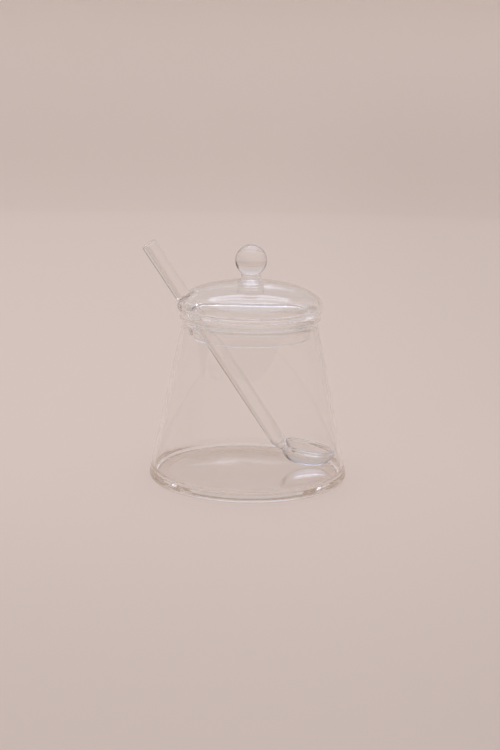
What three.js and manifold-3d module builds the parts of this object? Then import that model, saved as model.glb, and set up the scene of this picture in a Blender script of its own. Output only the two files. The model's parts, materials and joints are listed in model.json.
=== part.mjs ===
// Glass jam pot: a tapered jar, a lift-off domed lid with a ball knob and an insert collar,
// and a tube-handled spoon that leaves the pot through a slot in the lid.
// Millimetres, +Z up. The origin is the centre of the jar's flat underside.
// The spoon lies in the upright plane through the pot's axis at spoonAzimuth.

import * as THREE from 'three';
import { mergeVertices } from 'three/addons/utils/BufferGeometryUtils.js';
import Module from 'manifold-3d';

const wasm = await Module();
wasm.setup();

// Jar
const baseRadius = 50.6;
const baseCornerRadius = 2.2;
const jarWall = 1.6;
const floorThickness = 3;
const innerCornerRadius = 3.5;
const neckHeight = 78;
const neckRadius = 34.7;
const flareLength = 3;
const jarHeight = 85.3;
const lipFlare = 1.2;
const lipBeadRadius = 1.7;

// Lid, measured from the underside of its flange
const lidWall = 2;
const flangeThickness = 2;
const rimDrop = 3.4;
const rimRound = 2;
const domeRise = 12.7;
const crownBossRadius = 6;
const crownBossDrop = 1.3;
const collarWall = 1.6;
const collarDepth = 12.2;

// Knob
const footRadius = 6.2;
const footHeight = 1;
const neckWaist = 4.9;
const ballRadius = 8;
const ballCentreRise = 10.45;

// Notch in the lid's rim for the spoon's handle
const notchDepth = 8.9;

// Spoon
const spoonAzimuth = THREE.MathUtils.degToRad(14);
const handleRadius = 3.85;
const handleWall = 1;
const handleLength = 125;
const handleEndRound = 0.5;
const handleFootRound = 0.8;
const handleFootSolid = 2.5;
const spoonNeckRadius = 3.2;
const spoonNeckBend = 3.3;
const spoonNeckDrop = 1.6;
const bowlLength = 28.1;
const bowlHalfWidth = 8;
const bowlDepth = 10.9;
const bowlWall = 1.3;
const bowlMouthStart = 3.5;
const bowlTurn = THREE.MathUtils.degToRad(-8);
const bowlDroop = THREE.MathUtils.degToRad(12);
const bowlRoll = THREE.MathUtils.degToRad(10);

// Fits
const restGap = 0.3;
const lidOverhang = 0.9;
const collarClearance = 2.7;
const slotClearance = 1.3;
const lipRadius = neckRadius + lipFlare;
const lidRadius = lipRadius + lidOverhang;
const collarRadius = neckRadius - jarWall - collarClearance;
const slotHalfWidth = handleRadius + slotClearance;
const overrun = 2;

// Shares of the sizes that they follow
const fullestShare = 0.5;
const neckFullnessShare = 3;
const tipFullnessShare = 2.1;
const neckBlendShare = 4;
const thinnestShare = 0.12;

// Counts of facets
const jarFacets = 64;
const lidFacets = 64;
const knobFacets = 36;
const handleFacets = 20;
const arcSteps = 4;
const bowlStations = 22;
const bowlHalfSteps = 10;
const leanPasses = 12;

const glass = { metalness: 0, roughness: 0.03, transparent: true };
const clearGlass = new THREE.MeshStandardMaterial({ ...glass, color: 0xe9eeee, opacity: 0.35 });
const thickGlass = new THREE.MeshStandardMaterial({ ...glass, color: 0xdfe7e8, opacity: 0.5 });

const point = (radius, height) => new THREE.Vector2(radius, height);
const along = (start, direction, distance) => start.clone().addScaledVector(direction, distance);
const onCircle = (centre, radius, angle) =>
  point(centre.x + radius * Math.cos(angle), centre.y + radius * Math.sin(angle));

// Turns a profile, drawn as radius and height, round the pot's axis
function revolve(profile, facets) {
  const geometry = new THREE.LatheGeometry(profile.getPoints(arcSteps), facets);
  geometry.rotateX(Math.PI / 2);
  return closed(geometry);
}

// Keeps only the corners of a mesh, merged, so that it is one closed skin
function closed(geometry) {
  geometry.deleteAttribute('normal');
  geometry.deleteAttribute('uv');
  return mergeVertices(geometry);
}

function named(name, geometry, material) {
  geometry.computeVertexNormals();
  const mesh = new THREE.Mesh(geometry, material);
  mesh.name = name;
  return mesh;
}

function asSolid(geometry) {
  const vertProperties = new Float32Array(geometry.attributes.position.array);
  const triVerts = new Uint32Array(geometry.index.array);
  return new wasm.Manifold(new wasm.Mesh({ numProp: 3, vertProperties, triVerts }));
}

function asGeometry(solid) {
  const { vertProperties, triVerts } = solid.getMesh();
  const geometry = new THREE.BufferGeometry();
  geometry.setAttribute('position', new THREE.BufferAttribute(vertProperties, 3));
  geometry.setIndex(new THREE.BufferAttribute(triVerts, 1));
  return geometry;
}

// Jar: the taper touches the rounded base corner and ends at the neck
const baseCorner = point(baseRadius - baseCornerRadius, baseCornerRadius);
const neckPoint = point(neckRadius, neckHeight);
const toNeck = neckPoint.clone().sub(baseCorner);
const taperAngle = toNeck.angle() - Math.acos(baseCornerRadius / toNeck.length());
const taperNormal = onCircle(point(0, 0), 1, taperAngle);
const taperRise = point(-taperNormal.y, taperNormal.x);
const taperStart = onCircle(baseCorner, baseCornerRadius, taperAngle);
const lipCentre = point(lipRadius - lipBeadRadius, jarHeight - lipBeadRadius);

// Radius of a line parallel to the taper, set in from its outside by depth
const taperRadiusAt = (height, depth) =>
  taperStart.x - (depth + (height - taperStart.y) * taperNormal.y) / taperNormal.x;

function buildJar() {
  const innerNeck = along(neckPoint, taperNormal, -jarWall);
  const cornerHeight = floorThickness + innerCornerRadius;
  const innerCorner = point(taperRadiusAt(cornerHeight, jarWall + innerCornerRadius), cornerHeight);
  const outerFlare = along(neckPoint, taperRise, flareLength);
  const innerFlare = along(innerNeck, taperRise, flareLength);
  const lipOutside = -Math.PI / 6;
  const lipInside = Math.PI * 7 / 6;
  const lipStart = onCircle(lipCentre, lipBeadRadius, lipOutside);

  const profile = new THREE.Path();
  profile.moveTo(0, 0);
  profile.lineTo(baseCorner.x, 0);
  profile.absarc(baseCorner.x, baseCorner.y, baseCornerRadius, -Math.PI / 2, taperAngle);
  profile.lineTo(neckPoint.x, neckPoint.y);
  profile.quadraticCurveTo(outerFlare.x, outerFlare.y, lipStart.x, lipStart.y);
  profile.absarc(lipCentre.x, lipCentre.y, lipBeadRadius, lipOutside, lipInside);
  profile.quadraticCurveTo(innerFlare.x, innerFlare.y, innerNeck.x, innerNeck.y);
  profile.absarc(innerCorner.x, innerCorner.y, innerCornerRadius, taperAngle, -Math.PI / 2, true);
  profile.lineTo(0, floorThickness);
  return named('jar', revolve(profile, jarFacets), clearGlass);
}

// Lid, drawn with the underside of the flange at height zero
const crownHeight = rimDrop + domeRise;
const collarInside = collarRadius - collarWall;
const crownSeat = rimDrop + domeRise * Math.sqrt(1 - (footRadius / lidRadius) ** 2);

// A U-shaped prism that opens outwards along -X in the spoon's plane
function slotCutter(closedEnd, bottom, top) {
  const centre = closedEnd + slotHalfWidth;
  const mouth = lidRadius + overrun;
  const outline = new THREE.Shape();
  outline.moveTo(-mouth, -slotHalfWidth);
  outline.lineTo(-centre, -slotHalfWidth);
  outline.absarc(-centre, 0, slotHalfWidth, -Math.PI / 2, Math.PI / 2);
  outline.lineTo(-mouth, slotHalfWidth);
  const prism = new THREE.ExtrudeGeometry(outline, {
    depth: top - bottom,
    bevelEnabled: false,
    curveSegments: 2 * arcSteps,
  });
  prism.translate(0, 0, bottom);
  prism.rotateZ(spoonAzimuth);
  return asSolid(closed(prism));
}

const innerReach = collarInside - slotHalfWidth - overrun;
const wideSlot = slotCutter(innerReach, -collarDepth - overrun, flangeThickness + restGap);
const domeNotch = slotCutter(lidRadius - notchDepth, -overrun, crownHeight + overrun);

function buildLidDome() {
  const grooveRadius = lidRadius - lidWall;
  const innerCrown = crownHeight - lidWall;
  const grooveHeight = rimDrop - flangeThickness;
  const rimCentre = lidRadius - rimRound;
  const bossHeight = innerCrown - crownBossDrop;
  const bossAngle = Math.acos(crownBossRadius / grooveRadius);
  const bossRoot = rimDrop + (innerCrown - rimDrop) * Math.sin(bossAngle);
  const seatAngle = Math.acos(footRadius / lidRadius);

  const profile = new THREE.Path();
  profile.moveTo(0, bossHeight);
  profile.absellipse(0, bossRoot, crownBossRadius, bossRoot - bossHeight, -Math.PI / 2, 0);
  profile.absellipse(0, rimDrop, grooveRadius, innerCrown - rimDrop, bossAngle, 0, true);
  profile.absellipse(rimCentre - lidWall, rimDrop, rimRound, grooveHeight, 0, -Math.PI / 2, true);
  profile.lineTo(collarInside, flangeThickness);
  profile.lineTo(collarInside, 0);
  profile.lineTo(rimCentre, 0);
  profile.absellipse(rimCentre, rimDrop, rimRound, rimDrop, -Math.PI / 2, 0);
  profile.absellipse(0, rimDrop, lidRadius, domeRise, 0, seatAngle);
  profile.lineTo(0, crownSeat);

  const dome = asSolid(revolve(profile, lidFacets)).subtract(domeNotch).subtract(wideSlot);
  return named('lid_dome', asGeometry(dome), clearGlass);
}

function buildLidCollar() {
  const edgeRadius = collarWall / 2;
  const edgeHeight = edgeRadius - collarDepth;
  const profile = new THREE.Path();
  profile.moveTo(collarInside, 0);
  profile.lineTo(collarInside, edgeHeight);
  profile.absarc(collarInside + edgeRadius, edgeHeight, edgeRadius, Math.PI, 2 * Math.PI);
  profile.lineTo(collarRadius, 0);
  profile.lineTo(collarInside, 0);
  const collar = asSolid(revolve(profile, lidFacets)).subtract(wideSlot);
  return named('lid_collar', asGeometry(collar), clearGlass);
}

function buildLidKnob() {
  const ballHeight = crownSeat + ballCentreRise;
  const creaseAngle = -Math.acos(neckWaist / ballRadius);
  const crease = onCircle(point(0, ballHeight), ballRadius, creaseAngle);
  const footTop = crownSeat + footHeight;
  const profile = new THREE.Path();
  profile.moveTo(0, crownSeat);
  profile.lineTo(footRadius, crownSeat);
  profile.lineTo(footRadius, footTop);
  profile.quadraticCurveTo(neckWaist, footTop, crease.x, crease.y);
  profile.absarc(0, ballHeight, ballRadius, creaseAngle, Math.PI / 2);
  return named('lid_knob', revolve(profile, knobFacets), thickGlass);
}

// Spoon: its tip reaches the jar's wall, its hull lies on the floor and its handle leans on the lip

// Half width and depth of an egg-shaped hull at distance x from its blunt neck end, set in by wall
function hullAt(x, wall) {
  const fullest = bowlLength * fullestShare;
  const run = x < fullest ? fullest - wall : bowlLength - fullest - wall;
  const power = x < fullest ? neckFullnessShare : tipFullnessShare;
  const swell = (1 - Math.min(1, Math.abs(x - fullest) / run) ** power) ** (1 / power);
  return { halfWidth: (bowlHalfWidth - wall) * swell, depth: (bowlDepth - wall) * swell };
}

const blendOf = (a, b) => (a ** neckBlendShare + b ** neckBlendShare) ** (1 / neckBlendShare);

// One ring of the bowl: across is Y, up is Z, and the neck's middle is the origin, below the rim
function bowlRing(x) {
  const outer = hullAt(x, 0);
  const inner = hullAt(x, bowlWall);
  const opening = THREE.MathUtils.smoothstep(x, 0, bowlMouthStart);
  const taper = Math.max(0, 1 - x / bowlMouthStart);
  const halfWidth = blendOf(outer.halfWidth, spoonNeckRadius * taper);
  const depth = blendOf(outer.depth, (spoonNeckDrop + spoonNeckRadius) * taper);
  const mouthHalfWidth = Math.max(inner.halfWidth, halfWidth * thinnestShare);
  const mouth = THREE.MathUtils.lerp(halfWidth, mouthHalfWidth, opening);
  const mouthDepth = Math.max(inner.depth, bowlWall * thinnestShare);
  const rise = THREE.MathUtils.lerp(spoonNeckRadius, -mouthDepth, opening);
  const rimHeight = spoonNeckDrop * opening;
  const below = depth + rimHeight - spoonNeckDrop;
  const ring = [];
  for (let step = 0; step <= bowlHalfSteps; step++) {
    const angle = Math.PI * (1 + step / bowlHalfSteps);
    ring.push(new THREE.Vector3(x, halfWidth * Math.cos(angle), rimHeight + below * Math.sin(angle)));
  }
  for (let step = 1; step < bowlHalfSteps; step++) {
    const angle = Math.PI * step / bowlHalfSteps;
    ring.push(new THREE.Vector3(x, mouth * Math.cos(angle), rimHeight + rise * Math.sin(angle)));
  }
  return ring;
}

// Joins rings of equal count into one closed skin with flat ends
function loft(rings) {
  const count = rings[0].length;
  const corners = rings.flat();
  const index = [];
  for (let ring = 1; ring < rings.length; ring++) {
    for (let step = 0; step < count; step++) {
      const near = (ring - 1) * count + step;
      const nearNext = (ring - 1) * count + (step + 1) % count;
      index.push(near, nearNext, near + count);
      index.push(nearNext, nearNext + count, near + count);
    }
  }
  for (const [ring, turn] of [[0, 1], [rings.length - 1, -1]]) {
    const centre = corners.length;
    const middle = new THREE.Vector3();
    rings[ring].forEach((corner) => middle.addScaledVector(corner, 1 / count));
    corners.push(middle);
    for (let step = 0; step < count; step++) {
      const here = ring * count + step;
      const next = ring * count + (step + 1) % count;
      index.push(...(turn > 0 ? [centre, next, here] : [centre, here, next]));
    }
  }
  const geometry = new THREE.BufferGeometry();
  geometry.setAttribute('position', new THREE.Float32BufferAttribute(corners.flatMap((c) => c.toArray()), 3));
  geometry.setIndex(index);
  return geometry;
}

// Where the neck's middle meets the bowl, so that the tip is at the wall and the hull on the floor
function bowlStart() {
  const stations = Array.from({ length: bowlStations + 1 }, (_, i) => bowlLength * i / bowlStations);
  const lowest = Math.max(...stations.map((x) =>
    x * Math.sin(bowlDroop) + hullAt(x, 0).depth * Math.cos(bowlDroop)));
  const height = floorThickness + restGap + lowest;
  const tipHeight = height - bowlLength * Math.sin(bowlDroop);
  const tipReach = taperRadiusAt(tipHeight, jarWall) - restGap - restGap;
  const span = bowlLength * Math.cos(bowlDroop);
  const reach = Math.sqrt(tipReach ** 2 - (span * Math.sin(bowlTurn)) ** 2) - span * Math.cos(bowlTurn);
  return point(reach - spoonNeckDrop * Math.sin(bowlDroop), height - spoonNeckDrop * Math.cos(bowlDroop));
}

// The handle's foot and its lean from upright: it ends above the bent neck and touches the lip
function handlePlace() {
  const start = bowlStart();
  const lipReach = handleRadius + lipBeadRadius + restGap;
  let lean = 0;
  let foot = start;
  for (let pass = 0; pass < leanPasses; pass++) {
    foot = point(
      start.x - spoonNeckBend * (Math.cos(lean) - Math.sin(bowlDroop)),
      start.y + spoonNeckBend * (Math.cos(bowlDroop) - Math.sin(lean)),
    );
    const toLip = point(lipCentre.x + foot.x, lipCentre.y - foot.y);
    lean = Math.atan2(toLip.x, toLip.y) - Math.asin(lipReach / toLip.length());
  }
  return { start, foot, lean };
}

const place = handlePlace();

function buildSpoonHandle() {
  const bore = handleRadius - handleWall;
  const top = handleLength - handleEndRound;
  const profile = new THREE.Path();
  profile.moveTo(0, restGap);
  profile.lineTo(handleRadius - handleFootRound, restGap);
  profile.absarc(handleRadius - handleFootRound, restGap + handleFootRound, handleFootRound, -Math.PI / 2, 0);
  profile.absarc(handleRadius - handleEndRound, top, handleEndRound, 0, Math.PI / 2);
  profile.absarc(bore + handleEndRound, top, handleEndRound, Math.PI / 2, Math.PI);
  profile.lineTo(bore, handleFootSolid);
  profile.lineTo(0, handleFootSolid);
  const mesh = named('spoon_handle', revolve(profile, handleFacets), clearGlass);
  mesh.position.set(place.foot.x, 0, place.foot.y);
  mesh.rotation.y = -place.lean;
  return mesh;
}

function buildSpoonBowl() {
  const frame = new THREE.Matrix4().makeTranslation(place.start.x, 0, place.start.y);
  frame.multiply(new THREE.Matrix4().makeRotationZ(bowlTurn));
  frame.multiply(new THREE.Matrix4().makeRotationY(bowlDroop));
  frame.multiply(new THREE.Matrix4().makeRotationX(bowlRoll));
  const rings = [];

  // The neck bends from the handle's line into the bowl's
  const bendEnd = Math.PI / 2 - bowlDroop;
  for (let step = 0; step < arcSteps; step++) {
    const share = step / arcSteps;
    const tilt = THREE.MathUtils.lerp(place.lean, bendEnd, share);
    const middle = point(
      place.start.x - spoonNeckBend * (Math.cos(tilt) - Math.sin(bowlDroop)),
      place.start.y + spoonNeckBend * (Math.cos(bowlDroop) - Math.sin(tilt)),
    );
    const section = new THREE.Matrix4().makeTranslation(middle.x, 0, middle.y);
    section.multiply(new THREE.Matrix4().makeRotationZ(bowlTurn * share));
    section.multiply(new THREE.Matrix4().makeRotationY(Math.PI / 2 - tilt));
    section.multiply(new THREE.Matrix4().makeRotationX(bowlRoll));
    rings.push(bowlRing(0).map((corner) => corner.applyMatrix4(section)));
  }

  // Stations crowd towards both ends, where the hull turns most
  for (let station = 0; station < bowlStations; station++) {
    const x = bowlLength * (1 - Math.cos(Math.PI * (station + 1 / 2) / bowlStations)) / 2;
    rings.push(bowlRing(x).map((corner) => corner.applyMatrix4(frame)));
  }
  return named('spoon_bowl', loft(rings), thickGlass);
}

const lid = new THREE.Group();
lid.position.z = jarHeight + restGap;
lid.add(buildLidDome(), buildLidCollar(), buildLidKnob());

const spoon = new THREE.Group();
spoon.rotation.z = spoonAzimuth;
spoon.add(buildSpoonHandle(), buildSpoonBowl());

const jamPot = new THREE.Group();
jamPot.add(buildJar(), lid, spoon);

export default jamPot;
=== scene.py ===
import json
import math

import bmesh
import bpy
from mathutils import Matrix, Vector


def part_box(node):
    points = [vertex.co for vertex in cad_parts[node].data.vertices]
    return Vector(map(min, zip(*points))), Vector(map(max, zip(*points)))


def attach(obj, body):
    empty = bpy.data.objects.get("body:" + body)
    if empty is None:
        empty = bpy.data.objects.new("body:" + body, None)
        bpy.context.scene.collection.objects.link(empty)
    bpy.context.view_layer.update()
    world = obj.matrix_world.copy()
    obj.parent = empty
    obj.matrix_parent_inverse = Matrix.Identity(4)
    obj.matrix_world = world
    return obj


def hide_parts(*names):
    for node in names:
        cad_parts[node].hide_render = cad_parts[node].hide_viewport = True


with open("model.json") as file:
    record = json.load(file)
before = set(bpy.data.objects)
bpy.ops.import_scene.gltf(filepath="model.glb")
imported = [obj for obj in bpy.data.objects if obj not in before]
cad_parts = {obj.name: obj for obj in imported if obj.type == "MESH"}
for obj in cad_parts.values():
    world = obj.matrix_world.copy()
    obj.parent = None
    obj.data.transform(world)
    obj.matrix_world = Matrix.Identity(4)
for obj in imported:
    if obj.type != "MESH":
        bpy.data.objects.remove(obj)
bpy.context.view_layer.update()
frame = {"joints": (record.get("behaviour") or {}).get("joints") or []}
mm = 0.001
weldDistance = 0.001 * mm  # points closer than this are one
print("The packed frame is loaded")


# Node trees: a wrapped socket turns sums and products into Math nodes
class Value:
    def __init__(self, shader, socket):
        self.shader = shader
        self.socket = socket

    def work(self, operation, first, second):
        return self.shader.node("ShaderNodeMath", {"operation": operation}, {0: first, 1: second})

    def __add__(self, other):
        return self.work("ADD", self, other)

    def __radd__(self, other):
        return self.work("ADD", other, self)

    def __mul__(self, other):
        return self.work("MULTIPLY", self, other)

    def __rmul__(self, other):
        return self.work("MULTIPLY", other, self)


class Shader:
    def __init__(self, tree):
        self.tree = tree
        tree.nodes.clear()

    # One node: its settings come first, then the values or links of its sockets
    def node(self, kind, settings=None, inputs=None, output=0):
        made = self.tree.nodes.new(kind)
        for name, value in (settings or {}).items():
            setattr(made, name, value)
        for name, value in (inputs or {}).items():
            socket = made.inputs[name]
            if isinstance(value, Value):
                self.tree.links.new(value.socket, socket)
            else:
                socket.default_value = value
        return Value(self, made.outputs[output]) if made.outputs else None

    def ramp(self, value, start, end, low=0.0, high=1.0):
        return self.node(
            "ShaderNodeMapRange",
            {"interpolation_type": "SMOOTHSTEP"},
            {"Value": value, "From Min": start, "From Max": end, "To Min": low, "To Max": high},
        )

    def blend(self, factor, first, second):
        return self.node(
            "ShaderNodeMix", {"data_type": "RGBA"}, {"Factor": factor, 6: first, 7: second}, output=2
        )

    def finish(self, kind, surface):
        self.node(kind, None, {"Surface": surface})


def newMaterial(name):
    material = bpy.data.materials.new(name)
    material.use_nodes = True
    return material, Shader(material.node_tree)


# Points of an elliptic arc, its angles in degrees
def arc(centre, radii, start, end, steps):
    points = []
    for step in range(steps + 1):
        angle = math.radians(start + (end - start) * step / steps)
        points.append((centre[0] + radii[0] * math.cos(angle), centre[1] + radii[1] * math.sin(angle)))
    return points


def straight(start, end, steps):
    return [tuple(a + (b - a) * step / steps for a, b in zip(start, end)) for step in range(steps + 1)]


# A soft corner: leaves start and reaches end, both aimed at the corner
def bend(start, corner, end, steps):
    points = []
    for step in range(steps + 1):
        t = step / steps
        weights = ((1 - t) ** 2, 2 * t * (1 - t), t * t)
        points.append(tuple(
            sum(w * p[axis] for w, p in zip(weights, (start, corner, end))) for axis in (0, 1)
        ))
    return points


# Runs of points as one, without the repeats where they meet
def joined(*runs):
    points = []
    for run in runs:
        for point in run:
            if not points or math.dist(point, points[-1]) > weldDistance:
                points.append(point)
    return points


# The same run with evenly spaced points
def evenly(points, count):
    lengths = [0.0]
    for a, b in zip(points, points[1:]):
        lengths.append(lengths[-1] + math.dist(a, b))
    even = []
    place = 0
    for step in range(count + 1):
        wanted = lengths[-1] * step / count
        while place < len(points) - 2 and lengths[place + 1] < wanted:
            place += 1
        share = (wanted - lengths[place]) / (lengths[place + 1] - lengths[place])
        a, b = points[place], points[place + 1]
        even.append(tuple(p + (q - p) * share for p, q in zip(a, b)))
    return even


def turned(radius, angle, height):
    return Vector((radius * math.cos(angle), radius * math.sin(angle), height))


def addObject(name, data):
    made = bpy.data.objects.new(name, data)
    bpy.context.scene.collection.objects.link(made)
    return made


# Grids of points, welded where they meet
def weldGrids(grids):
    skin = bmesh.new()
    for grid in grids:
        rows = [[skin.verts.new(point) for point in row] for row in grid]
        for upper, lower in zip(rows, rows[1:]):
            for column in range(len(upper) - 1):
                skin.faces.new((upper[column], upper[column + 1], lower[column + 1], lower[column]))
    bmesh.ops.remove_doubles(skin, verts=skin.verts, dist=weldDistance)
    return skin


# A smooth object from a skin; the print shows whether its mesh is closed
def finishSkin(skin, name, material):
    bmesh.ops.recalc_face_normals(skin, faces=skin.faces)
    openEdges = sum(1 for edge in skin.edges if not edge.is_manifold)
    mesh = bpy.data.meshes.new(name)
    skin.to_mesh(mesh)
    skin.free()
    mesh.polygons.foreach_set("use_smooth", [True] * len(mesh.polygons))
    mesh.materials.append(material)
    print(f"{name}: {len(mesh.polygons)} faces, {openEdges} open edges")
    return addObject(name, mesh)


# Hangs a closed skin made from grids on its body
def makePiece(name, grids, body, nodes, material):
    piece = finishSkin(weldGrids(grids), name, material)
    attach(piece, body)
    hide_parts(*nodes)


# Glass: clear, with slow waves of hand work and faint streaks along its draw. Its rims get painted shade: a
# darker colour painted into the glass, which sets in between two heights and as the surface turns away,
# both listed for each kind
glassLooks = {
    "all": {
        "ior": 1.47,
        "waveDetail": 1.5, "waveRoughness": 0.4,
        "wipes": 140, "wipeDetail": 4, "wipeRoughness": 0.6, "wipeRamp": (0.45, 0.7),
        "shadow": (0.988, 0.986, 0.984), "rimShadow": (0.86, 0.85, 0.845), "shadowFacing": (0.6, 1.0),
        "mostTurns": 9,
    },
    "jar": {
        "clear": (0.996, 0.996, 0.994), "faint": (0.988, 0.989, 0.986), "rough": (0.0, 0.012),
        "waves": 38, "stretch": (1, 1, 0.35), "waveHeight": 0.12 * mm,
        # Painted shade: a brownish darker colour low at the base, for the floor's reflection and the shade
        # at its foot
        "rim": (0.82, 0.76, 0.71), "paintedShadeHeights": (10 * mm, 4 * mm), "paintedShadeFacing": (0.4, 0.9),
    },
    "lid": {
        "clear": (0.995, 0.995, 0.994), "faint": (0.986, 0.988, 0.986), "rough": (0.0, 0.012),
        "waves": 60, "stretch": (1, 1, 1), "waveHeight": 0.1 * mm,
        # Painted shade: a dark outline on the knob's ball
        "rim": (0.20, 0.16, 0.17), "paintedShadeHeights": (102.5 * mm, 107 * mm), "paintedShadeFacing": (0.45, 0.95),
    },
    "spoon": {
        "clear": (0.994, 0.994, 0.992), "faint": (0.984, 0.986, 0.983), "rough": (0.0, 0.015),
        "waves": 90, "stretch": (1, 1, 0.15), "waveHeight": 0.06 * mm,
        # Painted shade: a dark rim on the spoon's bowl
        "rim": (0.28, 0.275, 0.32), "paintedShadeHeights": (19.5 * mm, 16.5 * mm), "paintedShadeFacing": (0.05, 0.8),
    },
}


def makeGlass(kind):
    look = {**glassLooks["all"], **glassLooks[kind]}
    material, shader = newMaterial(f"{kind}Glass")
    place = shader.node("ShaderNodeTexCoord", output=3)
    along = shader.node("ShaderNodeMapping", None, {"Vector": place, "Scale": look["stretch"]})
    waves = shader.node("ShaderNodeTexNoise", None, {
        "Vector": along, "Scale": look["waves"],
        "Detail": look["waveDetail"], "Roughness": look["waveRoughness"],
    })
    wipes = shader.node("ShaderNodeTexNoise", None, {
        "Vector": place, "Scale": look["wipes"],
        "Detail": look["wipeDetail"], "Roughness": look["wipeRoughness"],
    })
    normal = shader.node(
        "ShaderNodeBump", None, {"Height": waves, "Distance": look["waveHeight"], "Strength": 1.0}
    )
    facing = shader.node("ShaderNodeLayerWeight", None, {"Blend": 0.5}, output="Facing")
    height = shader.node("ShaderNodeSeparateXYZ", None, {0: place}, output=2)
    # Painted shade: this mask darkens the glass colour where it turns away from view, between the two
    # heights
    paintedShadeMask = shader.ramp(facing, *look["paintedShadeFacing"]) * shader.ramp(height, *look["paintedShadeHeights"])
    streaks = shader.blend(waves, (*look["clear"], 1), (*look["faint"], 1))
    glass = shader.node("ShaderNodeBsdfPrincipled", None, {
        "Base Color": shader.blend(paintedShadeMask, streaks, (*look["rim"], 1)),
        "Roughness": shader.ramp(wipes, *look["wipeRamp"], *look["rough"]),
        "IOR": look["ior"],
        "Transmission Weight": 1.0,
        "Normal": normal,
    })
    # The sky and the floor's bounce pass straight through for a faint shadow, stronger at the rims, and
    # so does light that has gone round in the glass many times and would end black
    clear = shader.node("ShaderNodeBsdfTransparent", None, {"Color": (*look["shadow"], 1)})
    rim = shader.node("ShaderNodeBsdfTransparent", None, {"Color": (*look["rimShadow"], 1)})
    atEdge = shader.ramp(facing, *look["shadowFacing"])
    passing = shader.node("ShaderNodeMixShader", None, {0: atEdge, 1: clear, 2: rim})
    shadowRay = shader.node("ShaderNodeLightPath", output="Is Shadow Ray")
    diffuseRay = shader.node("ShaderNodeLightPath", output="Is Diffuse Ray")
    turns = shader.node("ShaderNodeLightPath", output="Ray Depth")
    spent = shader.node("ShaderNodeMath", {"operation": "GREATER_THAN"}, {0: turns, 1: look["mostTurns"]})
    either = shader.node(
        "ShaderNodeMath", {"operation": "ADD", "use_clamp": True}, {0: shadowRay + diffuseRay, 1: spent}
    )
    surface = shader.node("ShaderNodeMixShader", None, {0: either, 1: glass, 2: passing})
    shader.finish("ShaderNodeOutputMaterial", surface)
    return material


# Jar: one blown wall, thickened to the floor, with a turned-out bead at the lip
jarSizes = {
    "wall": 1.6 * mm,
    "floor": 3 * mm,
    "baseCorner": 2.2 * mm,
    "innerCorner": 3.5 * mm,
    "neckHeight": 78 * mm,
    "neckRadius": 34.7 * mm,
    "flare": 3 * mm,
    "lipRadius": 35.9 * mm,
    "lipBead": 1.7 * mm,
    "puntRise": 0.5 * mm,
    "puntRadius": 40 * mm,
    "beadArc": (-30, 210),  # degrees round the bead, from outside over the top
    "puntRows": 16,
    "restRows": 3,
    "cornerRows": 20,
    "wallRows": 24,
    "flareRows": 10,
    "beadRows": 30,
    "floorRows": 20,
    "columns": 200,
}


def makeJar():
    size = jarSizes
    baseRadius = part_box("jar")[1].x
    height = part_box("jar")[1].z
    wall, floor, baseCorner = size["wall"], size["floor"], size["baseCorner"]
    corner = (baseRadius - baseCorner, baseCorner)
    neck = (size["neckRadius"], size["neckHeight"])
    run = (neck[0] - corner[0], neck[1] - corner[1])
    taper = math.atan2(run[1], run[0]) - math.acos(baseCorner / math.hypot(*run))
    outward = (math.cos(taper), math.sin(taper))
    upward = (-outward[1], outward[0])
    start = (corner[0] + baseCorner * outward[0], corner[1] + baseCorner * outward[1])

    # Radius at a height, measured in from the tapered outside by a depth square to it
    def inside(level, depth):
        return start[0] - (depth + (level - start[1]) * outward[1]) / outward[0]

    bead = size["lipBead"]
    lip = (size["lipRadius"] - bead, height - bead)
    innerNeck = (neck[0] - wall * outward[0], neck[1] - wall * outward[1])
    flare = [
        (r + size["flare"] * upward[0], z + size["flare"] * upward[1]) for r, z in (neck, innerNeck)
    ]
    lipArc = arc(lip, (bead, bead), *size["beadArc"], size["beadRows"])
    innerCorner = size["innerCorner"]
    cornerLevel = floor + innerCorner
    innerCentre = (inside(cornerLevel, wall + innerCorner), cornerLevel)
    taperDegrees = math.degrees(taper)
    outerArc = arc(corner, (baseCorner, baseCorner), -90, taperDegrees, size["cornerRows"])
    innerArc = arc(innerCentre, (innerCorner, innerCorner), taperDegrees, -90, size["cornerRows"])
    puntRise, puntRadius = size["puntRise"], size["puntRadius"]
    profile = joined(
        bend((0, puntRise), (puntRadius / 2, puntRise), (puntRadius, 0), size["puntRows"]),
        straight((puntRadius, 0), (corner[0], 0), size["restRows"]),
        outerArc,
        straight(outerArc[-1], neck, size["wallRows"]),
        bend(neck, flare[0], lipArc[0], size["flareRows"]),
        lipArc,
        bend(lipArc[-1], flare[1], innerNeck, size["flareRows"]),
        straight(innerNeck, innerArc[0], size["wallRows"]),
        innerArc,
        straight(innerArc[-1], (0, floor), size["floorRows"]),
    )
    columns = size["columns"]
    angles = [2 * math.pi * column / columns for column in range(columns + 1)]
    grid = [[turned(r, angle, z) for angle in angles] for r, z in profile]
    makePiece("jar_glass_body", [grid], "jar", ["jar"], makeGlass("jar"))


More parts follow.
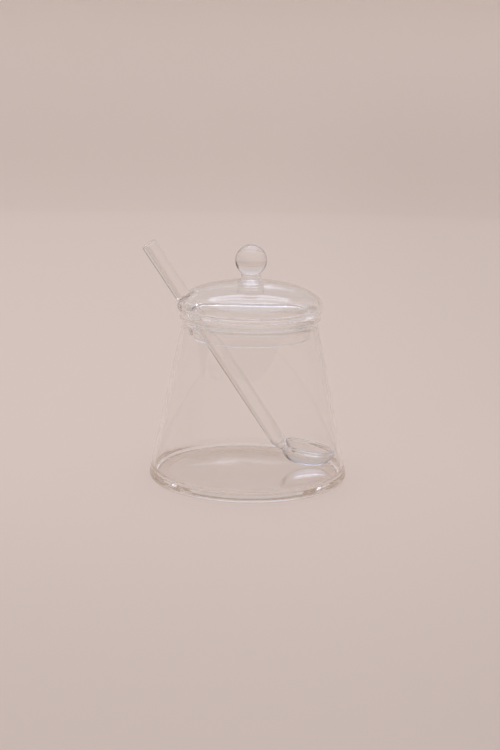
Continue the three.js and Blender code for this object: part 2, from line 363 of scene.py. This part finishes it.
# Lid: a domed sheet folded under at its rim, with its collar, knob and round-edged slot
lidSizes = {
    "wall": 2 * mm,
    "flange": 2 * mm,
    "rimDrop": 3.4 * mm,
    "rimRound": 2 * mm,
    "bossRadius": 7 * mm,
    "bossDrop": 1.3 * mm,
    "collarWall": 1.6 * mm,
    "weldFillet": 1.2 * mm,
    "ballRadius": 8 * mm,
    "neckWaist": 4.9 * mm,
    "footRadius": 6.2 * mm,
    "footHeight": 1 * mm,
    "footRound": 0.5 * mm,
    "notchDepth": 8.9 * mm,
    "slotHalfWidth": 5.15 * mm,
    "edgeRound": 0.9 * mm,
    "slotCorner": 1.6 * mm,
    "neckRun": 0.8 * mm,
    "creaseTurn": 5,  # degrees short of the crease, where the ball starts to run into the neck
    "footShare": 0.9,  # of the edge's rounding, above the collar's foot
    "columns": 200,
    "edgeSteps": 8,
    "ballRows": 44,
    "creaseRows": 8,
    "waistRows": 10,
    "footRows": 8,
    "rootRows": 6,
    "crownRows": 30,
    "hollowRows": 40,
    "slotEndRows": 18,
    "outerRows": (30, 24, 6, 10),  # dome, rim, shelf and fillet, before they are spaced evenly
    "innerRows": (24, 20, 6, 10),
    "sideRows": 64,
    "collarRows": 8,
    "slotCornerRows": 10,
}

spoonAxis = Vector(next(joint["axis"] for joint in frame["joints"] if joint["child"] == "spoon"))
spoonAzimuth = math.atan2(-spoonAxis.y, -spoonAxis.x)


# The rounded edge of a sheet, from its outer to its inner side
def edgeRun(outer, outerWay, inner, innerWay, reach, steps):
    run = []
    for step in range(steps + 1):
        t = step / steps
        weights = ((1 - t) ** 3, 3 * t * (1 - t) ** 2, 3 * t * t * (1 - t), t ** 3)
        corners = (outer, outer + outerWay * reach, inner + innerWay * reach, inner)
        run.append(sum((corner * weight for corner, weight in zip(corners, weights)), Vector()))
    return run


# Which way the slot lies from each row's edge, along the sheet
def slotWays(rows):
    edge = [turned(r, angle, z) for r, z, angle in rows]
    ways = []
    last = len(rows) - 1
    for place, (r, z, angle) in enumerate(rows):
        before, after = max(place - 1, 0), min(place + 1, last)
        fall = Vector((
            (rows[after][0] - rows[before][0]) * math.cos(angle),
            (rows[after][0] - rows[before][0]) * math.sin(angle),
            rows[after][1] - rows[before][1],
        )).normalized()
        around = Vector((-math.sin(angle), math.cos(angle), 0))
        course = around if place in (0, last) else (edge[after] - edge[before]).normalized()
        ways.append((fall * course.dot(around) - around * course.dot(fall)).normalized())
    return ways


def makeLid():
    size = lidSizes
    base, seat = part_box("lid_dome")[0].z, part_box("lid_dome")[1].z
    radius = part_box("lid_dome")[1].x
    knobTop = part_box("lid_knob")[1].z
    collarFoot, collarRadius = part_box("lid_collar")[0].z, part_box("lid_collar")[1].x
    widest = base + size["rimDrop"]
    footRadius = size["footRadius"]
    rise = (seat - widest) / math.sqrt(1 - (footRadius / radius) ** 2)
    innerRadius = radius - size["wall"]
    innerRise = rise - size["wall"]

    def domeAt(r):
        return widest + rise * math.sqrt(max(0, 1 - (r / radius) ** 2))

    def hollowAt(r):
        dome = widest + innerRise * math.sqrt(max(0, 1 - (r / innerRadius) ** 2))
        lump = (1 + math.cos(math.pi * min(1, r / size["bossRadius"]))) / 2
        return dome - size["bossDrop"] * lump

    # Knob and crown, whole all round
    ball = size["ballRadius"]
    ballHeight = knobTop - ball
    waist = size["neckWaist"]
    crease = (waist, ballHeight - math.sqrt(ball ** 2 - waist ** 2))
    ballEnd = size["creaseTurn"] - math.degrees(math.acos(waist / ball))
    ballRun = arc((0, ballHeight), (ball, ball), 90, ballEnd, size["ballRows"])
    neckStart = (waist, crease[1] - size["neckRun"])
    footTop = seat + size["footHeight"]
    footRound = size["footRound"]
    footEdge = (footRadius - footRound, footTop - footRound)
    onDome = footRadius + footRound
    side = size["slotHalfWidth"] + size["edgeRound"]
    closedEnd = radius - size["notchDepth"] + size["slotHalfWidth"]
    notchStart = closedEnd - side
    crown = joined(
        ballRun,
        bend(ballRun[-1], crease, neckStart, size["creaseRows"]),
        bend(neckStart, (waist, footTop), (footEdge[0], footTop), size["waistRows"]),
        arc(footEdge, (footRound, footRound), 90, 0, size["footRows"]),
        bend((footRadius, footEdge[1]), (footRadius, seat), (onDome, domeAt(onDome)), size["rootRows"]),
        straight((onDome, 0), (notchStart, 0), size["crownRows"]),
    )
    crown = [(r, z if z else domeAt(r)) for r, z in crown][:-1]

    # Rows that the slot cuts, outside and inside: radius, height and the edge's angle from its middle
    outer, inner = [], []
    for step in range(size["slotEndRows"] + 1):
        angle = math.radians(90 * step / size["slotEndRows"])
        x, y = closedEnd - side * math.cos(angle), side * math.sin(angle)
        r = math.hypot(x, y)
        outer.append((r, domeAt(r), math.atan2(y, x)))
        inner.append((r, hollowAt(r), math.atan2(y, x)))
    joinRadius = outer[-1][0]
    rim = radius - size["rimRound"]
    fillet = size["weldFillet"]
    collarInside = collarRadius - size["collarWall"]
    shelf = base + size["flange"]
    groove = innerRadius - size["rimRound"]
    joinAngle = math.degrees(math.acos(joinRadius / radius))
    domeRows, rimRows, shelfRows, filletRows = size["outerRows"]
    filletEnd = (collarRadius, base - fillet)
    outerRun = evenly(joined(
        arc((0, widest), (radius, rise), joinAngle, 0, domeRows),
        arc((rim, widest), (size["rimRound"], size["rimDrop"]), 0, -90, rimRows),
        straight((rim, base), (collarRadius + fillet, base), shelfRows),
        bend((collarRadius + fillet, base), (collarRadius, base), filletEnd, filletRows),
    ), size["sideRows"])
    innerJoin = math.degrees(math.acos(joinRadius / innerRadius))
    domeRows, rimRows, shelfRows, filletRows = size["innerRows"]
    filletEnd = (collarInside, base - fillet)
    innerRun = evenly(joined(
        arc((0, widest), (innerRadius, innerRise), innerJoin, 0, domeRows),
        arc((groove, widest), (size["rimRound"], widest - shelf), 0, -90, rimRows),
        straight((groove, shelf), (collarInside + fillet, shelf), shelfRows),
        bend((collarInside + fillet, shelf), (collarInside, shelf), filletEnd, filletRows),
    ), size["sideRows"])
    for (outerR, outerZ), (innerR, innerZ) in list(zip(outerRun, innerRun))[1:]:
        outer.append((outerR, outerZ, math.asin(side / outerR)))
        inner.append((innerR, innerZ, math.asin(side / innerR)))
    slotCorner = size["slotCorner"]
    foot = collarFoot + size["edgeRound"] * size["footShare"]
    collarRows, cornerRows = size["collarRows"], size["slotCornerRows"]
    levels = [
        (base - fillet + (foot + slotCorner - base + fillet) * step / collarRows, side)
        for step in range(1, collarRows + 1)
    ]
    for step in range(1, cornerRows + 1):
        angle = math.radians(90 * step / cornerRows)
        levels.append((
            foot + slotCorner * (1 - math.sin(angle)), side + slotCorner * (1 - math.cos(angle))
        ))
    for level, reach in levels:
        outer.append((collarRadius, level, math.asin(reach / collarRadius)))
        inner.append((collarInside, level, math.asin(reach / collarInside)))

    hollowRadii = [notchStart * step / size["hollowRows"] for step in range(size["hollowRows"])]
    hollow = [(r, hollowAt(r)) for r in hollowRadii]

    columns, steps = size["columns"], size["edgeSteps"]
    reach = size["edgeRound"] * 4 / 3  # the curve stands out by three quarters of its reach
    outerWays, innerWays = slotWays(outer), slotWays(inner)
    slotAngle = math.pi + spoonAzimuth
    turn = Matrix.Rotation(slotAngle, 3, "Z")

    def ring(r, z, gap):
        return [turned(r, gap + 2 * (math.pi - gap) * column / columns, z) for column in range(columns + 1)]

    # Crown and outside, the collar's rounded foot, then the inside and the hollow under the crown
    skin = [ring(r, z, 0) for r, z in crown] + [ring(*row) for row in outer]
    down = Vector((0, 0, -1))
    footRuns = [
        edgeRun(a, down, b, down, reach, steps) for a, b in zip(ring(*outer[-1]), ring(*inner[-1]))
    ]
    skin += [[run[step] for run in footRuns] for step in range(1, steps)]
    skin += [ring(*row) for row in reversed(inner)] + [ring(r, z, 0) for r, z in reversed(hollow)]
    grids = [skin]
    # The slot's rounded edge, one half on each side of its middle
    for mirror in (1, -1):
        flip = Matrix.Diagonal((1, mirror, 1))
        grids.append([
            [
                flip @ point
                for point in edgeRun(
                    turned(o[0], o[2], o[1]), outerWay, turned(i[0], i[2], i[1]), innerWay, reach, steps
                )
            ]
            for o, i, outerWay, innerWay in zip(outer, inner, outerWays, innerWays)
        ])
    grids = [[[turn @ point for point in row] for row in grid] for grid in grids]
    nodes = ["lid_dome", "lid_collar", "lid_knob"]
    makePiece("lid_glass_body", grids, "lid", nodes, makeGlass("lid"))


# Spoon: a drawn rod with a short bore at its top, bent at its foot into an oval bowl
spoonSizes = {
    "footReach": 16.68 * mm,
    "footHeight": 17.186 * mm,
    "handleRadius": 3.84 * mm,
    "handleWall": 1 * mm,
    "handleLength": 124.85 * mm,
    "boreDepth": 0.7 * mm,
    "neckRadius": 3.2 * mm,
    "neckBend": 3.3 * mm,
    "neckDrop": 1.6 * mm,
    "bowlLength": 28.1 * mm,
    "bowlHalfWidth": 8 * mm,
    "bowlDepth": 10.9 * mm,
    "bowlWall": 1.3 * mm,
    "bowlFloor": 6.5 * mm,  # of the unsmoothed cage; smoothing leaves about 5.8 mm
    "hollowStart": 3.5 * mm,
    "turn": -8,  # degrees round the upright, towards the viewer
    "droop": 12,  # degrees that the bowl slopes down
    "roll": 10,  # degrees about the spoon's own length
    "fullestShare": 0.5,
    "neckFullness": 3,  # powers of the outline, blunter when higher
    "tipFullness": 2.1,
    "leastHollowShare": 0.3,
    "ringCorners": 18,
    "smoothing": 3,
    "boreShares": (0.35, 0.7),
    "boreDish": 0.15 * mm,
    # Rings at the rim: share of the wall, from outside, and depth below the handle's top
    "rimRings": (
        (1, 0.15 * mm), (0.6, 0.05 * mm), (0.15, 0.15 * mm), (0, 0.6 * mm), (0, 1.6 * mm), (0, 8 * mm),
    ),
    "handleShares": (0.6, 0.3),
    # Rings at the foot: how far each is drawn in, and its height above the handle's foot
    "footRings": ((0, 8 * mm), (0, 2.4 * mm), (0, 1 * mm), (0.1 * mm, 0.35 * mm), (0.5 * mm, 0.05 * mm)),
    "neckSwell": 0.05 * mm,
    "neckStart": 0.25 * mm,
    "neckRings": 3,
    "bowlShares": (
        0.004, 0.02, 0.048, 0.09, 0.145, 0.215, 0.3, 0.4, 0.51, 0.62, 0.72, 0.81, 0.885, 0.94, 0.975, 0.994,
    ),
}


def makeSpoon():
    size = spoonSizes
    count = size["ringCorners"]
    half = count // 2
    # A subdivided ring shrinks by this share, so its corners start that much further out
    swell = 3 / (2 + math.cos(2 * math.pi / count))
    lean = math.acos(spoonAxis.z)
    droop = math.radians(size["droop"])
    turn = math.radians(size["turn"])
    roll = Matrix.Rotation(math.radians(size["roll"]), 4, "X")
    inPlane = Matrix.Rotation(spoonAzimuth, 4, "Z")
    footX, footZ = size["footReach"], size["footHeight"]
    bendRadius = size["neckBend"]
    startX = footX + bendRadius * (math.cos(lean) - math.sin(droop))
    startZ = footZ - bendRadius * (math.cos(droop) - math.sin(lean))
    length, wall = size["bowlLength"], size["bowlWall"]
    neckDrop, stem = size["neckDrop"], size["neckRadius"]
    # The bowl's floor is thicker than its rim, which leaves this share of the hollow
    hollowShare = 1 - (size["bowlFloor"] - wall) / size["bowlDepth"]

    # Corners go round from one side, under the hull, to the other side and back along the hollow. They are
    # even where the opening is 0, and where it is 1 each half begins and ends at the bowl's edge
    def sector(corner, opening):
        return math.pi * ((corner + 0.5) / half * (1 - opening) + corner / (half - 1) * opening)

    def circle(radius):
        angles = [sector(corner, 0) for corner in range(count)]
        return [Vector((0, -radius * swell * math.cos(a), -radius * swell * math.sin(a))) for a in angles]

    def hull(x, inset):
        fullest = length * size["fullestShare"]
        run = (fullest if x < fullest else length - fullest) - inset
        power = size["neckFullness"] if x < fullest else size["tipFullness"]
        share = (1 - min(1, abs(x - fullest) / run) ** power) ** (1 / power)
        return (size["bowlHalfWidth"] - inset) * share, (size["bowlDepth"] - inset) * share

    def bowlRing(x):
        opening = min(1, x / size["hollowStart"])
        taper = 1 - opening
        opening = opening * opening * (3 - 2 * opening)
        width, depth = hull(x, 0)
        # Fourth powers run the round neck softly into the hull
        width = (width ** 4 + (stem * taper) ** 4) ** 0.25
        depth = (depth ** 4 + ((neckDrop + stem) * taper) ** 4) ** 0.25
        innerWidth, innerDepth = hull(x, wall)
        innerDepth *= hollowShare
        hollowWidth = width + (max(innerWidth, width * size["leastHollowShare"]) - width) * opening
        rise = stem - (stem + innerDepth) * opening
        level = neckDrop * opening
        below = depth + level - neckDrop
        ring = []
        for corner in range(half):
            a = sector(corner, opening)
            ring.append(Vector((0, -width * swell * math.cos(a), level - below * swell * math.sin(a))))
        hollowReach = hollowWidth * (swell if opening < 1 else 1)
        for corner in range(half):
            a = sector(corner, opening)
            ring.append(Vector((0, hollowReach * math.cos(a), level + rise * math.sin(a))))
        return ring

    rings = []

    def onHandle(radius, along):
        frameAt = (
            Matrix.Translation((footX, 0, footZ)) @ Matrix.Rotation(math.pi / 2 - lean, 4, "Y")
            @ Matrix.Translation((-along, 0, 0)) @ roll
        )
        rings.append([frameAt @ point for point in circle(radius)])

    outside, handleWall = size["handleRadius"], size["handleWall"]
    bore = outside - handleWall
    top = size["handleLength"]
    boreFloor = top - size["boreDepth"]
    innerShare, outerShare = size["boreShares"]
    onHandle(bore * innerShare, boreFloor)
    onHandle(bore * outerShare, boreFloor + size["boreDish"])
    for share, drop in size["rimRings"]:
        onHandle(outside - handleWall * share, top - drop)
    for share in size["handleShares"]:
        onHandle(outside, top * share)
    for inset, level in size["footRings"]:
        onHandle(outside - inset, level)
    onHandle(stem + size["neckSwell"], -size["neckStart"])

    neckRings = size["neckRings"]
    for step in range(1, neckRings + 1):
        share = step / neckRings
        tilt = lean + (math.pi / 2 - droop - lean) * share
        middleX = startX - bendRadius * (math.cos(tilt) - math.sin(droop))
        middleZ = startZ + bendRadius * (math.cos(droop) - math.sin(tilt))
        frameAt = (
            Matrix.Translation((middleX, 0, middleZ)) @ Matrix.Rotation(turn * share, 4, "Z")
            @ Matrix.Rotation(math.pi / 2 - tilt, 4, "Y") @ roll
        )
        rings.append([frameAt @ point for point in circle(stem)])

    bowlFrame = (
        Matrix.Translation((startX, 0, startZ)) @ Matrix.Rotation(turn, 4, "Z")
        @ Matrix.Rotation(droop, 4, "Y") @ roll
    )
    for share in size["bowlShares"]:
        x = length * share
        frameAt = bowlFrame @ Matrix.Translation((x, 0, 0))
        rings.append([frameAt @ point for point in bowlRing(x)])

    cage = bmesh.new()
    corners = [[cage.verts.new(inPlane @ point) for point in ring] for ring in rings]
    for near, far in zip(corners, corners[1:]):
        for place in range(count):
            following = (place + 1) % count
            cage.faces.new((near[place], near[following], far[following], far[place]))
    # The bore's floor and the bowl's tip close as a band of faces from underside to top
    for ring in (corners[0], corners[-1]):
        for place in range(half - 1):
            cage.faces.new((ring[place], ring[place + 1], ring[count - 2 - place], ring[count - 1 - place]))
    piece = finishSkin(cage, "spoon_glass_body", makeGlass("spoon"))
    smooth = piece.modifiers.new("smooth", "SUBSURF")
    smooth.levels = smooth.render_levels = size["smoothing"]
    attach(piece, "spoon")
    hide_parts("spoon_handle", "spoon_bowl")


# Paper cove: a round floor that sweeps up into a low edge. Its colour holds painted light: it is painted
# paler up the sweep, and a little darker in front, behind and to the right as painted shade where the light
# falls off; the ramps are places in metres
coveSizes = {
    "floorRadius": 1.15,
    "sweep": 0.3,
    "wallTop": 0.32,
    "columns": 96,
    "floorRows": 12,
    "sweepRows": 24,
    "edgeRows": 2,
    "paper": (0.795, 0.679, 0.573, 1),
    # Painted shade: darker paper colours behind, in front and to the right; painted light: a paler one up
    # the sweep
    "paperFarPaintedShade": (0.762, 0.654, 0.553, 1),
    "paperNearPaintedShade": (0.68, 0.578, 0.49, 1),
    "paperHighPaintedLight": (0.95, 0.88, 0.80, 1),
    "farRamp": (0.2, 1.1),
    "nearRamp": (0.05, -0.4),
    "rightRamp": (0.0, 0.24),
    "highRamp": (0.0, 0.26),
    "rightShare": 0.45,
}


def makeCove():
    size = coveSizes
    sweep, radius = size["sweep"], size["floorRadius"]
    profile = joined(
        straight((0, 0), (radius, 0), size["floorRows"]),
        arc((radius, sweep), (sweep, sweep), -90, 0, size["sweepRows"]),
        straight((radius + sweep, sweep), (radius + sweep, size["wallTop"]), size["edgeRows"]),
    )
    angles = [2 * math.pi * column / size["columns"] for column in range(size["columns"] + 1)]
    grid = [[turned(r, angle, z) for angle in angles] for r, z in profile]
    material, shader = newMaterial("covePaper")
    place = shader.node("ShaderNodeTexCoord", output=3)
    across, depth, rise = (
        shader.node("ShaderNodeSeparateXYZ", None, {0: place}, output=axis) for axis in range(3)
    )
    # Painted shade and painted light: the paper's colour is darkened in front, behind and to the right, and
    # made paler up the sweep
    near = shader.ramp(depth, *size["nearRamp"])
    dimmer = near + size["rightShare"] * shader.ramp(across, *size["rightRamp"])
    level = shader.blend(shader.ramp(depth, *size["farRamp"]), size["paper"], size["paperFarPaintedShade"])
    flat = shader.blend(dimmer, level, size["paperNearPaintedShade"])
    paper = shader.node("ShaderNodeBsdfPrincipled", None, {
        "Base Color": shader.blend(shader.ramp(rise, *size["highRamp"]), flat, size["paperHighPaintedLight"]),
        "Roughness": 0.9,
        "Specular IOR Level": 0.1,
    })
    shader.finish("ShaderNodeOutputMaterial", paper)
    cove = finishSkin(weldGrids([grid]), "cove", material)
    print("The paper cove stands")


# Sky: a cool soft box overhead, a narrow strip behind it, and a plain room, dimmer low at its sides
# and in front; the ramps are parts of the view's direction: height, depth to the back, and across
skyLight = {
    "low": (0.61, 0.53, 0.50, 1),
    "middle": (0.66, 0.60, 0.60, 1),
    "box": (1.27, 1.34, 1.6, 1),
    "strip": (2.6, 2.7, 3.3, 1),
    "leftSide": (0.34, 0.29, 0.26, 1),
    "rightSide": (0.20, 0.17, 0.15, 1),
    "frontSide": (0.30, 0.26, 0.25, 1),
    "middleHeight": (0.32, 0.48),
    "boxHeight": (0.80, 0.90),
    "stripFoot": (0.66, 0.68),
    "stripTop": (0.75, 0.73),
    "stripLeft": (-0.38, -0.28),
    "stripRight": (0.34, 0.24),
    "stripDepth": (0, 0.2),
    "sideTop": (0.42, 0.32),
    "leftPlace": (-0.72, -0.88),
    "rightPlace": (0.62, 0.74),
    "frontTop": (0.35, 0.2),
    "frontPlace": (-0.3, -0.7),
}


def makeSky():
    world = bpy.data.worlds.new("sky")
    bpy.context.scene.world = world
    world.use_nodes = True
    shader = Shader(world.node_tree)
    way = shader.node("ShaderNodeTexCoord", output=0)
    across, depth, height = (
        shader.node("ShaderNodeSeparateXYZ", None, {0: way}, output=axis) for axis in range(3)
    )

    def part(value, name):
        return shader.ramp(value, *skyLight[name])

    breadth = part(across, "stripLeft") * part(across, "stripRight") * part(depth, "stripDepth")
    strip = part(height, "stripFoot") * part(height, "stripTop") * breadth
    beneath = part(height, "sideTop")
    colour = skyLight["low"]
    for factor, name in (
        (part(height, "middleHeight"), "middle"),
        (part(across, "leftPlace") * beneath, "leftSide"),
        (part(across, "rightPlace") * beneath, "rightSide"),
        (part(depth, "frontPlace") * part(height, "frontTop"), "frontSide"),
        (strip, "strip"),
        (part(height, "boxHeight"), "box"),
    ):
        colour = shader.blend(factor, colour, skyLight[name])
    light = shader.node("ShaderNodeBackground", None, {"Color": colour, "Strength": 1.0})
    shader.finish("ShaderNodeOutputWorld", light)
    print("The sky is lit")


# Dark cards beside the pot, unseen by the camera, that draw the outlines of clear glass
cardSizes = {
    "grain": 30,
    "paler": 1.1,
    "cards": {
        "left": {
            "x": -0.50, "front": -0.20, "back": 0.02, "foot": 0.11, "top": 0.30, "tone": (0.38, 0.33, 0.30),
        },
        "right": {
            "x": 0.45, "front": -0.05, "back": 0.39, "foot": 0.12, "top": 0.36, "tone": (0.14, 0.12, 0.11),
        },
    },
}


def makeCards():
    for side, size in cardSizes["cards"].items():
        material, shader = newMaterial(f"{side}Card")
        grain = shader.node("ShaderNodeTexNoise", None, {"Scale": cardSizes["grain"]})
        tone = size["tone"]
        paler = [cardSizes["paler"] * part for part in tone]
        paper = shader.node("ShaderNodeBsdfPrincipled", None, {
            "Base Color": shader.blend(grain, (*tone, 1), (*paler, 1)),
            "Roughness": 0.9,
        })
        shader.finish("ShaderNodeOutputMaterial", paper)
        x, front, back, foot, top = (size[name] for name in ("x", "front", "back", "foot", "top"))
        corners = [(x, front, foot), (x, back, foot), (x, back, top), (x, front, top)]
        mesh = bpy.data.meshes.new(f"card_{side}")
        mesh.from_pydata(corners, [], [(0, 1, 2, 3)])
        mesh.materials.append(material)
        card = addObject(f"card_{side}", mesh)
        card.visible_camera = card.visible_diffuse = card.visible_shadow = False
    print("The cards stand beside it")


# Camera: a long lens a little above the pot, read from the photograph's ellipses
cameraSetup = {
    "place": (0.00045, -0.746751, 0.223861),
    "pitch": 12.89,  # degrees down
    "roll": 1.0,
    "lens": 72,
    "sensor": 36,
}


def makeCamera():
    camera = addObject("camera", bpy.data.cameras.new("camera"))
    camera.data.lens = cameraSetup["lens"]
    camera.data.sensor_width = cameraSetup["sensor"]
    camera.matrix_world = (
        Matrix.Translation(cameraSetup["place"])
        @ Matrix.Rotation(math.radians(90 - cameraSetup["pitch"]), 4, "X")
        @ Matrix.Rotation(math.radians(cameraSetup["roll"]), 4, "Z")
    )
    bpy.context.scene.camera = camera
    print("The camera is set")


makeJar()
makeLid()
makeSpoon()
makeCove()
makeSky()
makeCards()
makeCamera()

scene = bpy.context.scene
scene.view_settings.view_transform = "Standard"
# Light passes many walls of clear glass before it ends
scene.cycles.max_bounces = 32
scene.cycles.transmission_bounces = 32
scene.cycles.glossy_bounces = 12
scene.cycles.transparent_max_bounces = 32
bpy.context.view_layer.update()
print("The scene is complete")
